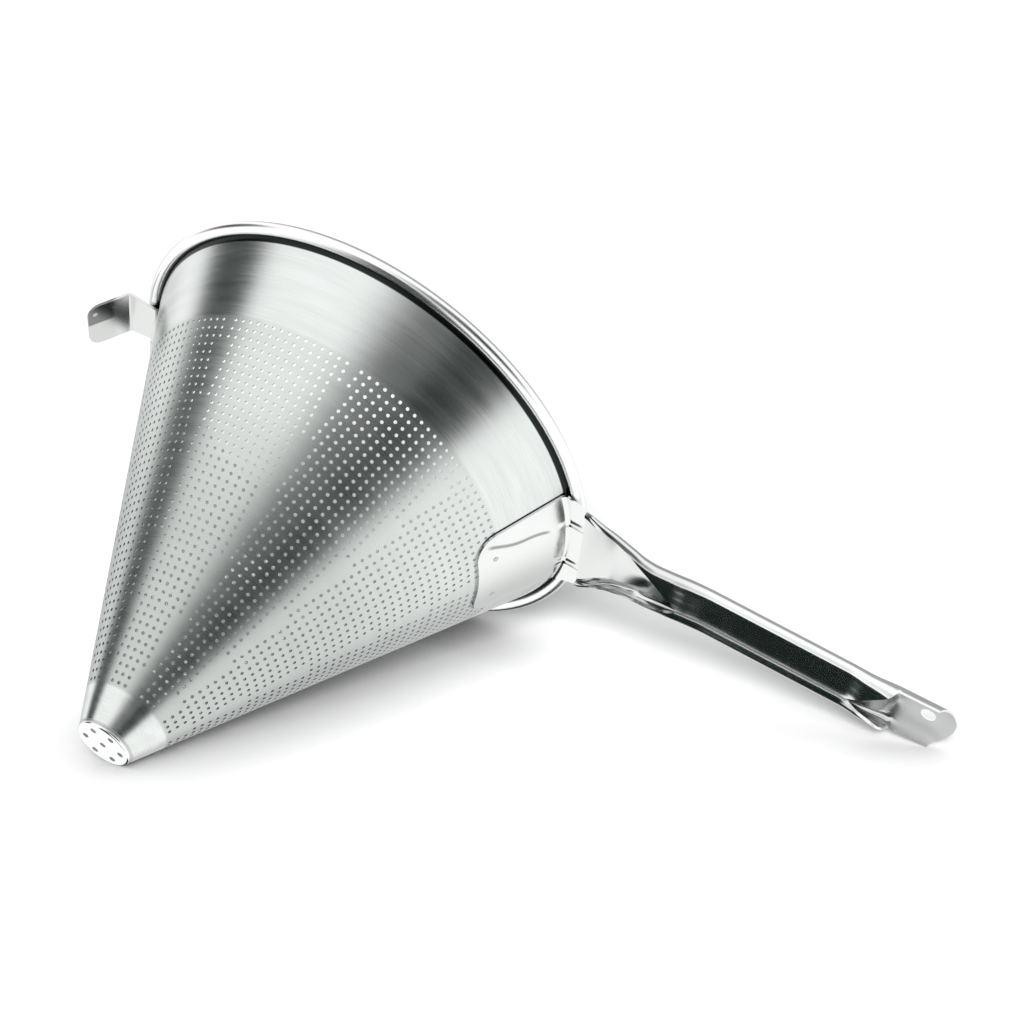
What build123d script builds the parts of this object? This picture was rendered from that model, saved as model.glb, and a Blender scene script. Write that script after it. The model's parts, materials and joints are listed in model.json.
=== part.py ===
from build123d import *
import os
from math import acos, asin, atan2, cos, degrees, hypot, pi, radians, sin, tan

os.makedirs("parts", exist_ok=True)

# Conical bowl of sheet steel, rolled outward over a rim wire
rim_diameter = 260.0
tip_diameter = 28.8
cone_half_angle = 26.2
cone_sheet = 0.8
wire_diameter = 4.8
curl_clearance = 0.15
curl_lip_gap = 0.2
curl_outer_sides = 7
curl_inner_sides = 6
wire_sides = 6

# Perforation, measured along the slant of the cone; the pitch and the diameter of the
# real holes set how much of the wall the coarse openings leave open
top_band = 43.7
tip_band = 22.5
ring_pitch = 4.21
hole_pitch = 4.45
hole_diameter = 2.0
opening_rows = 5
openings_round = 12

# Pressed cap that closes the small end, and the weld round its joint
cap_edge_radius = 1.2
cap_edge_sides = 2
cap_hole_diameter = 2.4
cap_hole_circle = 19.4
cap_hole_count = 6
cap_hole_sides = 8
tip_weld_width = 1.4
tip_weld_height = 0.12

# Bracket plate on the cone, bent outward under the rim to carry the handle
rim_clearance = 0.3
bracket_sheet = 1.2
bracket_bend_radius = 3.0
bracket_leg = 50.3
bracket_top_half_width = 34.9
bracket_bottom_half_width = 28.4
bracket_corner_radius = 12.0
seam_gap_from_rim = 0.4
rib_radius = 2.3
rib_spread = 32.0
rib_reach_on_plate = 4.5
rib_reach_on_ledge = 1.6

# Handle rolled from one sheet, open along the middle of its underside
handle_length = 202.0
root_flat_length = 2.6
handle_sheet = 1.2
grip_width = 31.8
grip_height = 15.4
grip_axis_drop = 2.8
crown_sides = 4
side_sides = 4
root_width = 62.0
root_lip_depth = 3.1
flap_gap = 2.4
hanging_hole_diameter = 8.0
hanging_hole_setback = 14.5
root_weld_radius = 1.0
root_weld_length = 36.0

# Rest hook opposite the handle, bent from a strap
hook_sheet = 1.5
hook_bend_radius = 1.5
hook_leg = 19.0
hook_reach = 17.6
hook_drop_length = 22.5
hook_drop_angle = 61.0
hook_root_width = 25.0
hook_width = 29.0
hook_corner_radius = 7.0

# Spot welds
spot_diameter = 4.0
spot_height = 0.3
spot_sides = 12
bracket_spot_height = 10.0
bracket_spot_spread = 29.6
hook_spot_height = 7.0
hook_spot_spread = 12.0

cut_overrun = 10.0
cavity_overrun = 1.0

# Stations of the handle: place along it, then how far its width, top and bottom
# have gone from the root's value to the grip's, and the side radius over half the height
handle_station_shares = [
    (0.000, 0.00, 0.00, 0.00, 0.90),
    (0.080, 0.60, 0.41, 0.26, 0.85),
    (0.160, 0.94, 0.50, 1.05, 0.72),
    (0.240, 1.00, 0.85, 1.50, 0.58),
    (0.350, 1.00, 1.00, 1.00, 0.58),
    (0.720, 1.00, 1.00, 1.00, 0.58),
    (0.785, 1.00, 1.00, 1.38, 0.58),
    (1.000, 1.00, 1.00, 1.10, 0.58),
]

# Opening between the flaps: place along the handle and share of the half-width there
root_opening_shares = [(0.00, 0.900), (0.05, 0.902), (0.13, 0.890), (0.208, 0.625)]
root_opening_end_share = 0.282
end_opening_start_share = 0.743
end_opening_shares = [(0.856, 0.91), (0.872, 1.20)]
open_root_share = 0.160
end_roundness_share = 0.58

slope = radians(cone_half_angle)
wire_radius = wire_diameter / 2
curl_inner_radius = wire_radius + curl_clearance
bead_radius = curl_inner_radius + cone_sheet
rim_radius = rim_diameter / 2
bead_circle_radius = rim_radius - bead_radius
wall_radius_at_rim = bead_circle_radius - curl_inner_radius / cos(slope)
apex_height = -wall_radius_at_rim / tan(slope)
tip_radius = tip_diameter / 2
tip_height = (tip_radius - wall_radius_at_rim) / tan(slope)
ledge_top = -bead_radius - rim_clearance


def wall_radius(height):
    """Outer radius of the cone's wall at a height below the rim."""
    return wall_radius_at_rim + height * tan(slope)


def wall_place(slant, turn, lift=0.0):
    """Point at a distance from the apex along the wall, lifted off its outer face."""
    radius = slant * sin(slope) + lift * cos(slope)
    height = apex_height + slant * cos(slope) - lift * sin(slope)
    return Vector(radius * cos(turn), radius * sin(turn), height)


def wall_plane(slant, turn):
    """Plane that touches the cone's outer face, its x axis running up the slope."""
    outward = Vector(cos(slope) * cos(turn), cos(slope) * sin(turn), -sin(slope))
    uphill = Vector(sin(slope) * cos(turn), sin(slope) * sin(turn), cos(slope))
    return Plane(origin=wall_place(slant, turn), x_dir=uphill, z_dir=outward)


def turned(outline, turn=360.0):
    """Revolve an outline of radius and height about the axis, centred on the handle."""
    solid = revolve(Plane.XZ * make_face(outline), Axis.Z, turn)
    return Rot(Z=-turn / 2) * solid


def round_points(centre, radius, start, sweep, sides):
    """Points along a round stretch, from a start angle through a sweep, in degrees."""
    places = [radians(start + sweep * step / sides) for step in range(sides + 1)]
    return [(centre[0] + radius * cos(at), centre[1] + radius * sin(at)) for at in places]


def slab(points, plane, depth):
    """Prism on both sides of a plane, with the given outline."""
    face = make_face(Polyline(*points, close=True))
    return extrude(plane * face, depth, both=True)


def cone_slant(height):
    """Distance from the apex along the wall to a height."""
    return (height - apex_height) / cos(slope)


def perforation():
    """Cuts of a coarse grid of openings that leaves as much of the wall open as the holes do."""
    low = cone_slant(tip_height) + tip_band
    row_height = (cone_slant(0.0) - top_band - low) / opening_rows
    column_turn = 360.0 / openings_round
    open_share = (pi / ring_pitch / hole_pitch) ** 0.5 * hole_diameter / 2
    cuts = []
    for row in range(opening_rows):
        middle = low + (row + 0.5) * row_height
        reach = row_height * open_share / 2
        corners = [
            wall_place(middle + along, 0.0, lift)
            for along, lift in (
                (-reach, -2 * cone_sheet),
                (-reach, cone_sheet),
                (reach, cone_sheet),
                (reach, -2 * cone_sheet),
            )
        ]
        points = [(corner.X, corner.Z) for corner in corners]
        cut = turned(Polyline(*points, close=True), column_turn * open_share)
        cuts += [Rot(Z=(place + 0.5) * column_turn) * cut for place in range(openings_round)]
    return cuts


def perforated_cone():
    """Cone wall with its openings, whose edge rolls outward over the wire."""
    centre = (bead_circle_radius, 0.0)
    start_turn = 180.0 - cone_half_angle
    lip_turn = degrees(acos((curl_inner_radius - curl_lip_gap) / bead_radius))
    curl_turn = 360.0 - lip_turn
    side_turn = curl_turn / curl_inner_sides
    corner_radius = curl_inner_radius / cos(radians(side_turn / 2))
    first_turn = start_turn - side_turn / 2
    inner_curl = round_points(
        centre, corner_radius, first_turn, side_turn - curl_turn, curl_inner_sides - 1
    )
    lip_end = round_points(centre, curl_inner_radius, start_turn - curl_turn, 0.0, 1)[0]
    outer_curl = round_points(centre, bead_radius, start_turn, -curl_turn, curl_outer_sides)
    outside_tip = (tip_radius, tip_height)
    inside_tip = (tip_radius - cone_sheet / cos(slope), tip_height)
    outline = [outside_tip, *inner_curl, lip_end, *reversed(outer_curl), inside_tip]
    return turned(Polyline(*outline, close=True)) - perforation()


def rim_wire():
    """Round wire inside the rolled rim."""
    centre = (bead_circle_radius, 0.0)
    points = round_points(centre, wire_radius, 180.0 - cone_half_angle, -360.0, wire_sides)
    return turned(Polyline(*points[:-1], close=True))


def tip_cap():
    """Shallow flanged cap with a ring of holes round one in its middle."""
    flat_radius = tip_radius - cap_edge_radius
    face_height = tip_height - cap_edge_radius
    edge = round_points((flat_radius, tip_height), cap_edge_radius, -90.0, 90.0, cap_edge_sides)
    inner_radius = tip_radius - cone_sheet
    inside = [
        (inner_radius, tip_height),
        (inner_radius, face_height + cone_sheet),
        (0.0, face_height + cone_sheet),
        (0.0, face_height),
    ]
    cap = turned(Polyline(*edge, *inside, close=True))
    drill = extrude(RegularPolygon(cap_hole_diameter / 2, cap_hole_sides), cut_overrun, both=True)
    middle = Pos(0.0, 0.0, face_height)
    ring = middle * PolarLocations(cap_hole_circle / 2, cap_hole_count)
    return cap - [middle * drill] - [place * drill for place in ring]


def tip_weld():
    """Low weld band on the cone, just above the cap's joint."""
    low = cone_slant(tip_height)
    corners = [
        wall_place(low, 0.0),
        wall_place(low + tip_weld_width, 0.0),
        wall_place(low + tip_weld_width / 2, 0.0, tip_weld_height),
    ]
    points = [(corner.X, corner.Z) for corner in corners]
    return turned(Polyline(*points, close=True))


def strap_bend(thickness, bend_radius):
    """Centre of the bend that lifts a strap off the wall, just under the rim."""
    back_radius = bend_radius + thickness
    height = ledge_top - back_radius
    return Vector(wall_radius(height) + back_radius / cos(slope), height)


def wall_strap(thickness, bend_radius, leg, reach, turn):
    """Strap that lies on the cone, bends outward under the rim and runs level."""
    centre = strap_bend(thickness, bend_radius)
    middle = (centre.X, centre.Y)
    bend_turn = 90.0 - cone_half_angle
    back = CenterArc(middle, bend_radius + thickness, 90.0, bend_turn)
    front = CenterArc(middle, bend_radius, 90.0, bend_turn)
    downhill = Vector(-sin(slope), -cos(slope)) * leg
    back_foot = back @ 1 + downhill
    front_foot = front @ 1 + downhill
    top_end = (reach, ledge_top)
    low_end = (reach, ledge_top - thickness)
    outline = [
        back,
        Line(back @ 1, back_foot),
        Line(back_foot, front_foot),
        Line(front_foot, front @ 1),
        front,
        Line(front @ 0, low_end),
        Line(low_end, top_end),
        Line(top_end, back @ 0),
    ]
    return turned(outline, turn)


seam_place = rim_radius + seam_gap_from_rim
bracket_turn = 2 * degrees(asin(bracket_top_half_width / wall_radius(tip_height / 2)))


def stiffening_ribs():
    """Two ribs across the bend of the bracket, on its underside."""
    centre = strap_bend(bracket_sheet, bracket_bend_radius)
    middle_radius = bracket_bend_radius + bracket_sheet / 2
    on_plate = Vector(
        centre.X - middle_radius * cos(slope) - rib_reach_on_plate * sin(slope),
        centre.Y + middle_radius * sin(slope) - rib_reach_on_plate * cos(slope),
    )
    on_ledge = Vector(centre.X + rib_reach_on_ledge, centre.Y + middle_radius)
    ribs = []
    for side in (-1, 1):
        swing = asin(side * rib_spread / 2 / centre.X)
        start = Vector(on_plate.X * cos(swing), on_plate.X * sin(swing), on_plate.Y)
        end = Vector(on_ledge.X * cos(swing), on_ledge.X * sin(swing), on_ledge.Y)
        middle = Plane(origin=(start + end) / 2, z_dir=end - start)
        rod = extrude(middle * Circle(rib_radius), (end - start).length, both=True)
        ribs.append(rod - behind_bracket())
    return ribs


def behind_bracket():
    """Room of the cone and rim, which the ribs stay out of."""
    centre = strap_bend(bracket_sheet, bracket_bend_radius)
    back_radius = bracket_bend_radius + bracket_sheet / 2
    back = CenterArc((centre.X, centre.Y), back_radius, 90.0, 90.0 - cone_half_angle)
    foot = back @ 1 + Vector(-sin(slope), -cos(slope)) * bracket_leg
    far_end = Vector(seam_place + cut_overrun, (back @ 0).Y)
    high_end = far_end + Vector(0.0, cut_overrun)
    high_back = Vector(foot.X - cut_overrun, high_end.Y)
    low_back = Vector(foot.X - cut_overrun, foot.Y)
    outline = [
        back,
        Line(back @ 1, foot),
        Line(foot, low_back),
        Line(low_back, high_back),
        Line(high_back, high_end),
        Line(high_end, far_end),
        Line(far_end, back @ 0),
    ]
    return turned(outline, bracket_turn)


def handle_bracket():
    """Shield-shaped plate on the cone whose top edge is bent out into a ledge."""
    reach = seam_place + cut_overrun
    sheet = wall_strap(bracket_sheet, bracket_bend_radius, bracket_leg, reach, bracket_turn)
    centre = strap_bend(bracket_sheet, bracket_bend_radius)
    foot_height = centre.Y - bracket_leg * cos(slope) + bracket_bend_radius * sin(slope)
    top, bottom = bracket_top_half_width, bracket_bottom_half_width
    growth = (top - bottom) / (ledge_top - foot_height)
    high = top + growth * cut_overrun
    front = make_face(
        Polyline(
            (-bottom, foot_height),
            (bottom, foot_height),
            (high, ledge_top + cut_overrun),
            (-high, ledge_top + cut_overrun),
            close=True,
        )
    )
    corners = front.vertices().sort_by(Axis.Y)[0:2]
    front = fillet(corners, bracket_corner_radius)
    shield = extrude(Plane.YZ * front, reach)
    bend_place = centre.X * cos(radians(bracket_turn) / 2)
    root = root_width / 2
    plan = slab(
        [
            (0.0, -top),
            (bend_place, -top),
            (seam_place, -root),
            (seam_place, root),
            (bend_place, top),
            (0.0, top),
        ],
        Plane.XY,
        -2 * apex_height,
    )
    return (sheet & shield & plan) + stiffening_ribs()


def handle_place(share):
    """Place along the handle's axis at a share of its length past the level root."""
    return seam_place + root_flat_length + share * (handle_length - root_flat_length)


def handle_section(share, inset):
    """Half-width, half-height, middle and side radius of the section at a share of the length."""
    stations = handle_station_shares
    before = max(row for row in stations if row[0] <= share)
    after = min(row for row in stations if row[0] >= share)
    span = after[0] - before[0]
    blend = (share - before[0]) / span if span else 0.0
    width_share, top_share, low_share, side_share = [
        here + (there - here) * blend for here, there in zip(before[1:], after[1:])
    ]
    half_width = (root_width + (grip_width - root_width) * width_share) / 2 - inset
    grip_top = grip_height / 2 - grip_axis_drop
    grip_low = -grip_height / 2 - grip_axis_drop
    top = ledge_top + (grip_top - ledge_top) * top_share - inset
    root_low = ledge_top - root_lip_depth
    low = root_low + (grip_low - root_low) * low_share
    low += inset if share >= open_root_share else -inset
    middle, half_height = (top + low) / 2, (top - low) / 2
    side_radius = half_height * side_share
    return half_width, half_height, middle, side_radius


def oval(half_width, half_height, middle, side_radius):
    """Oval of four round stretches that run smoothly into each other, in short straight sides."""
    side_place = half_width - side_radius
    crown_radius = side_place**2 + half_height**2 - side_radius**2
    crown_radius /= 2 * (half_height - side_radius)
    centre_drop = crown_radius - half_height
    join = degrees(atan2(centre_drop, side_place))
    stretches = [
        ((side_place, middle), side_radius, -join, 2 * join, side_sides),
        ((0.0, middle - centre_drop), crown_radius, join, 180.0 - 2 * join, crown_sides),
        ((-side_place, middle), side_radius, 180.0 - join, 2 * join, side_sides),
        ((0.0, middle + centre_drop), crown_radius, 180.0 + join, 180.0 - 2 * join, crown_sides),
    ]
    points = []
    for stretch in stretches:
        points += round_points(*stretch)[:-1]
    return Polyline(*points, close=True)


def handle_body(inset, overrun):
    """Loft through the handle's stations, run past both ends by the overrun."""
    shares = [0.0] + [row[0] for row in handle_station_shares]
    places = [handle_place(share) for share in shares]
    places[0] = seam_place - overrun
    places[-1] += overrun
    sections = []
    for place, share in zip(places, shares):
        curve = oval(*handle_section(share, inset))
        sections.append(Plane.YZ.offset(place) * make_face(curve))
    return loft(sections, ruled=True)


def share_of_half_width(share, width_share):
    """Distance from the middle line, as a share of the handle's half-width there."""
    return handle_section(share, 0.0)[0] * width_share


def flap_opening(shares, tip_share, top):
    """Wedge that parts the two flaps, from its point to the open end."""
    one_side = [
        (handle_place(share), share_of_half_width(share, width)) for share, width in shares
    ]
    tip = (handle_place(tip_share), 0.0)
    end_place, end_width = one_side[-1]
    toward_end = end_place > tip[0]
    far_place = handle_place(1.0) + cut_overrun if toward_end else seam_place - cut_overrun
    one_side.append((far_place, end_width))
    other_side = [(x, -y) for x, y in reversed(one_side)]
    face = make_face(Polyline(tip, *one_side, *other_side, close=True))
    return extrude(Plane.XY.offset(top) * face, -2 * grip_height)


def handle():
    """Rolled sheet handle, flat at its root, with a hanging hole in its end."""
    end_place = seam_place + handle_length
    body = handle_body(0.0, 0.0) - handle_body(handle_sheet, cavity_overrun)
    opening_top = ledge_top - grip_axis_drop / 2
    root_first = list(reversed(root_opening_shares))
    body -= flap_opening(root_first, root_opening_end_share, opening_top)
    body -= flap_opening(end_opening_shares, end_opening_start_share, -grip_axis_drop)
    slit_start = handle_place(open_root_share)
    slit = slab(
        [
            (slit_start, -flap_gap / 2),
            (end_place, -flap_gap / 2),
            (end_place, flap_gap / 2),
            (slit_start, flap_gap / 2),
        ],
        Plane.XY.offset(-grip_axis_drop - grip_height),
        grip_height,
    )
    body -= slit
    end_radius = grip_width * end_roundness_share
    end_block = slab(
        [
            (end_place - end_radius, -end_radius - cut_overrun),
            (end_place + cut_overrun, -end_radius - cut_overrun),
            (end_place + cut_overrun, end_radius + cut_overrun),
            (end_place - end_radius, end_radius + cut_overrun),
        ],
        Plane.XY,
        2 * grip_height,
    )
    end_round = Pos(end_place - end_radius, 0.0, 0.0) * Cylinder(end_radius, 4 * grip_height)
    body -= end_block - end_round
    hole = Cylinder(hanging_hole_diameter / 2, 2 * grip_height)
    return body - Pos(end_place - hanging_hole_setback, 0.0, grip_height) * hole


def root_weld():
    """Half-round weld bead over the seam, on the side away from the grip's opening."""
    face = Circle(root_weld_radius) & Pos(0.0, root_weld_radius) * Rectangle(
        4 * root_weld_radius, 2 * root_weld_radius
    )
    place = Plane(
        origin=(seam_place + root_weld_radius, -root_weld_length / 2, ledge_top),
        x_dir=(-1, 0, 0),
        z_dir=(0, 1, 0),
    )
    return extrude(place * face, root_weld_length)


def rest_hook():
    """Strap hook that lies on the cone and rests on the far edge of a pot."""
    joint = rim_radius - bead_radius
    bend_outer = hook_bend_radius + hook_sheet
    leg_part = wall_strap(hook_sheet, hook_bend_radius, hook_leg, joint + cut_overrun, bracket_turn)
    keep = slab(
        [
            (0.0, -hook_root_width / 2),
            (joint, -hook_root_width / 2),
            (joint, hook_root_width / 2),
            (0.0, hook_root_width / 2),
        ],
        Plane.XY,
        -2 * apex_height,
    )
    leg_part = leg_part & keep
    bend_place = wall_radius(ledge_top) + hook_reach - bend_outer * tan(radians(hook_drop_angle) / 2)
    level = ledge_top
    centre = (bend_place, level - bend_outer)
    outer = CenterArc(centre, bend_outer, 90.0, -hook_drop_angle)
    inner = CenterArc(centre, hook_bend_radius, 90.0, -hook_drop_angle)
    drop = Vector(cos(radians(hook_drop_angle)), -sin(radians(hook_drop_angle)))
    outer_end = outer @ 1 + drop * hook_drop_length
    inner_end = inner @ 1 + drop * hook_drop_length
    outline = [
        Line((joint, level), outer @ 0),
        outer,
        Line(outer @ 1, outer_end),
        Line(outer_end, inner_end),
        Line(inner_end, inner @ 1),
        inner,
        Line(inner @ 0, (joint, level - hook_sheet)),
        Line((joint, level - hook_sheet), (joint, level)),
    ]
    arm = extrude(Plane.XZ * make_face(outline), hook_width, both=True)
    root_half, half = hook_root_width / 2, hook_width / 2
    plan = slab(
        [
            (joint, -root_half),
            (bend_place, -half),
            (bend_place + 2 * hook_drop_length, -half),
            (bend_place + 2 * hook_drop_length, half),
            (bend_place, half),
            (joint, root_half),
        ],
        Plane.XY,
        -2 * apex_height,
    )
    arm = arm & plan
    end_edges = arm.edges().filter_by(GeomType.LINE).sort_by(Axis.Z)
    short = [edge for edge in end_edges if abs(edge.length - hook_sheet) < hook_sheet / 10]
    arm = fillet(short[0:2], hook_corner_radius)
    return Rot(Z=180.0) * (leg_part + arm)


def spot_welds(sheet, bend_radius, leg, height, spread, turn):
    """Two low round weld marks on a strap's outer face, a height above its foot."""
    centre = strap_bend(sheet, bend_radius)
    foot_slant = cone_slant(centre.Y + (bend_radius + sheet) * sin(slope)) - leg
    slant = foot_slant + height
    spots = []
    for side in (-1, 1):
        swing = side * asin(spread / 2 / (slant * sin(slope)))
        plane = wall_plane(slant, turn + swing).offset(sheet)
        spots.append(extrude(plane * RegularPolygon(spot_diameter / 2, spot_sides), spot_height))
    return Part() + spots


def tangent_turn():
    """Angle between the cone's axis and the floor that rim and tip lie on, in radians."""
    run = bead_circle_radius - (tip_radius - cap_edge_radius)
    rise = -tip_height
    reach = hypot(run, rise)
    return atan2(run, rise) + asin((bead_radius - cap_edge_radius) / reach)


def resting_turn():
    """Turn round the axis at which the handle's end corner has come down to the floor."""
    lean = tangent_turn()
    rim_centre_height = bead_radius + bead_circle_radius * cos(lean)
    end_radius = grip_width * end_roundness_share
    half_width = grip_width / 2
    corner_place = seam_place + handle_length - end_radius
    corner_place += (end_radius**2 - half_width**2) ** 0.5
    level = (rim_centre_height - sin(lean) * grip_axis_drop) / cos(lean)
    return atan2(half_width, corner_place) + acos(level / hypot(corner_place, half_width))


pieces = {
    "perforated_cone": perforated_cone(),
    "rim_wire": rim_wire(),
    "tip_cap": tip_cap(),
    "tip_weld": tip_weld(),
    "handle_bracket": handle_bracket(),
    "bracket_spot_welds": spot_welds(
        bracket_sheet, bracket_bend_radius, bracket_leg, bracket_spot_height, bracket_spot_spread, 0.0
    ),
    "handle": handle(),
    "handle_root_weld": root_weld(),
    "rest_hook": rest_hook(),
    "hook_spot_welds": spot_welds(
        hook_sheet, hook_bend_radius, hook_leg, hook_spot_height, hook_spot_spread, pi
    ),
}

# Lay the strainer down on the rim, the tip and the end of the handle
lean = tangent_turn()
turn = resting_turn()
handle_way = (sin(lean) * cos(turn), -sin(turn), -cos(lean) * cos(turn))
mouth_way = (cos(lean), 0.0, sin(lean))
laid = Location(Plane(origin=(0.0, 0.0, 0.0), x_dir=handle_way, z_dir=mouth_way))
placed = {name: laid * shape for name, shape in pieces.items()}
boxes = [shape.bounding_box() for shape in placed.values()]
low_corner = [min(tuple(box.min)[axis] for box in boxes) for axis in range(3)]
high_corner = [max(tuple(box.max)[axis] for box in boxes) for axis in range(3)]
middle_x, middle_y = [(low_corner[axis] + high_corner[axis]) / 2 for axis in range(2)]
shift = Pos(-middle_x, -middle_y, -low_corner[2])
print("lean", degrees(lean), "turn", degrees(turn), "shift", shift.position)
for name, shape in placed.items():
    export_step(shift * shape, f"parts/{name}.step")
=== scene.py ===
import json
from math import acos, asin, atan2, ceil, cos, degrees, hypot, pi, radians, sin, sqrt, tan

import bmesh
import bpy
from mathutils import Matrix, Vector


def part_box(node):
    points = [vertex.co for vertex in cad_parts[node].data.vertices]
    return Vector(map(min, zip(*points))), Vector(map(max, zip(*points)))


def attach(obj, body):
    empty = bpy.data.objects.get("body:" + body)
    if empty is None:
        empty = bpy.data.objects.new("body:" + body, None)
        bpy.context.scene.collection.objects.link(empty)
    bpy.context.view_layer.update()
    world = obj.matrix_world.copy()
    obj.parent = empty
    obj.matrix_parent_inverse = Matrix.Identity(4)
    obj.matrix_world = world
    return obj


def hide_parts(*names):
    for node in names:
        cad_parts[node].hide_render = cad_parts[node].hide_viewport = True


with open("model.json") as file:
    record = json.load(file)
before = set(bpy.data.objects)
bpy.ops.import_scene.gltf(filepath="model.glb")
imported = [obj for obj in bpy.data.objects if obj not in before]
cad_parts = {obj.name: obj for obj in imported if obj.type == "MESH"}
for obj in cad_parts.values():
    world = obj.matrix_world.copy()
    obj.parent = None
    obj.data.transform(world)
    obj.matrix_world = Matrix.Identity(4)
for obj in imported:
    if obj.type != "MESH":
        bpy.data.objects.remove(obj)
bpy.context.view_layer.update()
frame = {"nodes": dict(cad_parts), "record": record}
scene = bpy.context.scene

# Every size below is in millimetres on the strainer's own axes: the mouth faces +Z, the rim wire's
# middle plane is at zero and the handle points along +X.
mm = 0.001

# Bowl
rim_radius = 130.0
tip_radius = 14.4
slope = radians(26.2)
cone_sheet = 0.8
curl_inner_radius = 2.55
curl_lip_gap = 0.2
curl_sides = 28
bowl_sides_per_sector = 20

# Perforation, along the slant of the wall from the cone's apex
first_ring = 54.0
ring_pitch = 4.21
ring_count = 44
hole_diameter = 1.85
hole_sides = 8
hole_pitch_at_tip = 3.6
hole_pitch_at_top = 4.6
hole_pitch_growth = 0.0105
sector_count = 9
sector_margin = 2.4
punched_band_margin = 2.3
sector_side_steps = 24

# Cap and weld at the small end
cap_edge_radius = 1.2
cap_dome = 0.5
cap_hole_diameter = 3.2
cap_hole_circle = 19.4
cap_hole_count = 6
cap_hole_sides = 20
cap_sides = 96
cap_edge_steps = 8
tip_weld_width = 1.6
tip_weld_height = 0.12
tip_weld_steps = 6

# Bracket
rim_clearance = 0.3
bracket_sheet = 1.2
bracket_bend_radius = 3.0
bracket_leg = 50.3
bracket_top_half_width = 34.9
bracket_bottom_half_width = 28.4
bracket_corner_radius = 12.0
seam_gap_from_rim = 0.4
rib_spread = 32.0
rib_half_width = 2.8
rib_half_length = 6.2
rib_height = 0.28
rib_shift = 1.2
rib_back_share = 0.6
bracket_edge_width = 0.22
strap_bend_steps = 10

# Handle
handle_length = 202.0
handle_sheet = 1.2
grip_width = 31.8
grip_height = 15.4
grip_axis_drop = 2.8
root_width = 62.0
root_lip_depth = 3.1
flap_gap = 2.0
hanging_hole_diameter = 8.0
hanging_hole_setback = 14.5
hanging_hole_sides = 48
hem_depth = 1.5
hem_corner_share = 0.8
handle_edge_width = 0.25
end_radius = 0.58 * grip_width
grip_start = 200.0
grip_stop = 275.0
root_point_place = 187.2
root_opening_half_width = 27.0
root_opening_power = 0.77
end_point_place = 280.0
end_opening_growth = 0.68
opening_margin = 0.002
half_section_steps = 60
root_weld_radius = 1.0
root_weld_length = 36.0
root_weld_ripple = 0.12
root_weld_ripple_pitch = 1.4
root_weld_end_share = 0.15
root_weld_under_share = 0.05
weld_sharp_turn = radians(60)

# Rest hook
hook_sheet = 1.5
hook_bend_radius = 1.5
hook_leg = 19.0
hook_reach = 17.6
hook_drop_length = 22.5
hook_drop_turn = radians(61.0)
hook_root_width = 25.0
hook_width = 29.0
hook_corner_radius = 7.0
hook_edge_width = 0.3

# Spot welds
spot_diameter = 3.0
spot_height = 0.3
bracket_spot_height = 10.0
bracket_spot_spread = 29.6
hook_spot_height = 7.0
hook_spot_spread = 12.0
spot_sides = 28

# A spot weld's outline from its edge inward, as shares of its radius and height
spot_profile = [(1.0, 0.0), (0.97, 0.45), (0.86, 0.8), (0.7, 0.75), (0.4, 0.4), (0.1, 0.35)]

# Points nearer than this are joined, and faces that agree more than this with a way face it
touching = 0.01
face_agreement = 0.9

# Handle stations: place along it, then how far its width, top and bottom have gone from
# the root's value to the grip's, and the side radius over half the height, all as shares
handle_station_shares = [
    (0.000, 0.00, 0.00, 0.00, 0.90),
    (0.050, 0.36, 0.24, 0.10, 0.88),
    (0.090, 0.60, 0.41, 0.26, 0.85),
    (0.130, 0.79, 0.44, 0.50, 0.80),
    (0.168, 0.94, 0.50, 1.05, 0.72),
    (0.208, 1.00, 0.66, 1.42, 0.64),
    (0.250, 1.00, 0.85, 1.50, 0.58),
    (0.300, 1.00, 0.98, 1.25, 0.58),
    (0.360, 1.00, 1.00, 1.00, 0.58),
    (0.723, 1.00, 1.00, 1.00, 0.58),
    (0.785, 1.00, 1.00, 1.38, 0.64),
    (0.850, 1.00, 1.00, 1.30, 0.86),
    (1.000, 1.00, 1.00, 1.05, 0.92),
]

curl_outer_radius = curl_inner_radius + cone_sheet
curl_circle = rim_radius - curl_outer_radius
wall_radius_at_rim = curl_circle - curl_inner_radius / cos(slope)
apex_height = -wall_radius_at_rim / tan(slope)
tip_height = (tip_radius - wall_radius_at_rim) / tan(slope)
ledge_top = -curl_outer_radius - rim_clearance
seam_place = rim_radius + seam_gap_from_rim
handle_end = seam_place + handle_length
punched_low = first_ring - punched_band_margin
punched_high = first_ring + (ring_count - 1) * ring_pitch + punched_band_margin
bowl_sides = sector_count * bowl_sides_per_sector
sector_turn = 2 * pi / sector_count


# Where the strainer lies in the frame

mounts = {mount["name"]: mount for mount in frame["record"]["mounts"]}
mouth_way = Vector(mounts["hanging_hole"]["axis"]).normalized()
wire_low, wire_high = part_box("rim_wire")
rim_middle = (wire_low + wire_high) / 2
to_hanging_hole = Vector(mounts["hanging_hole"]["pos_m"]) - rim_middle
handle_way = (to_hanging_hole - mouth_way * to_hanging_hole.dot(mouth_way)).normalized()
side_way = mouth_way.cross(handle_way)
lay = Matrix((handle_way, side_way, mouth_way)).transposed().to_4x4()
lay.translation = rim_middle
lay = lay @ Matrix.Scale(mm, 4)


def operator(operation):
    """Method that applies a maths node to an amount and what stands beside it."""
    return lambda amount, *others: amount.maths(operation, *others)


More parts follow.
